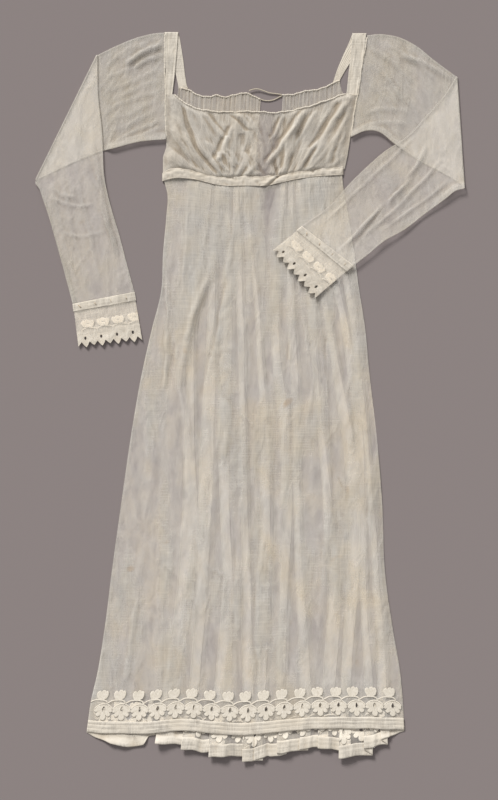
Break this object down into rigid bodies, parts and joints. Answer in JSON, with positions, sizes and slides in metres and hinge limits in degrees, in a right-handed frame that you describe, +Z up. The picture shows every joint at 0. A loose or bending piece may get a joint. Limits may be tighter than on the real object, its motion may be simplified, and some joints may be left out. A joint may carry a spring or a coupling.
{
  "type": "day dress",
  "caption": "Long high-waisted cotton dress laid flat, with folded long sleeves, gathered low-necked bodice, pleated back and a worked eyelet border.",
  "frame": {"origin": "centre of the bounding box, on the surface that the dress lies on", "axes": "+X to the right of the picture (the dress's left side), +Y from the hem towards the shoulders, +Z up from the surface, through the back to the front"},
  "size_m": [0.7615, 1.2906, 0.0088],
  "materials": {
    "muslin": "sheer plain-weave cotton",
    "band": "doubled plain-weave cotton",
    "whitework": "cotton satin stitch",
    "string": "twisted cotton"
  },
  "bodies": {
    "root": {"skirt_front": "muslin", "skirt_back": "muslin", "hem_band_front": "muslin", "hem_band_back": "muslin", "waistband": "band", "bodice_front": "muslin", "bodice_back_left": "muslin", "bodice_back_right": "muslin", "neck_casing_front": "band", "neck_casing_back_left": "band", "neck_casing_back_right": "band", "strap_left": "band", "strap_right": "band", "sleeve_left": "muslin", "sleeve_right": "muslin", "cuff_band_left": "band", "cuff_band_right": "band", "cuff_edging_left_top": "whitework", "cuff_edging_left_under": "whitework", "cuff_edging_right_top": "whitework", "cuff_edging_right_under": "whitework", "drawstring_upper": "string", "drawstring_lower": "string"}
  },
  "joints": []
}
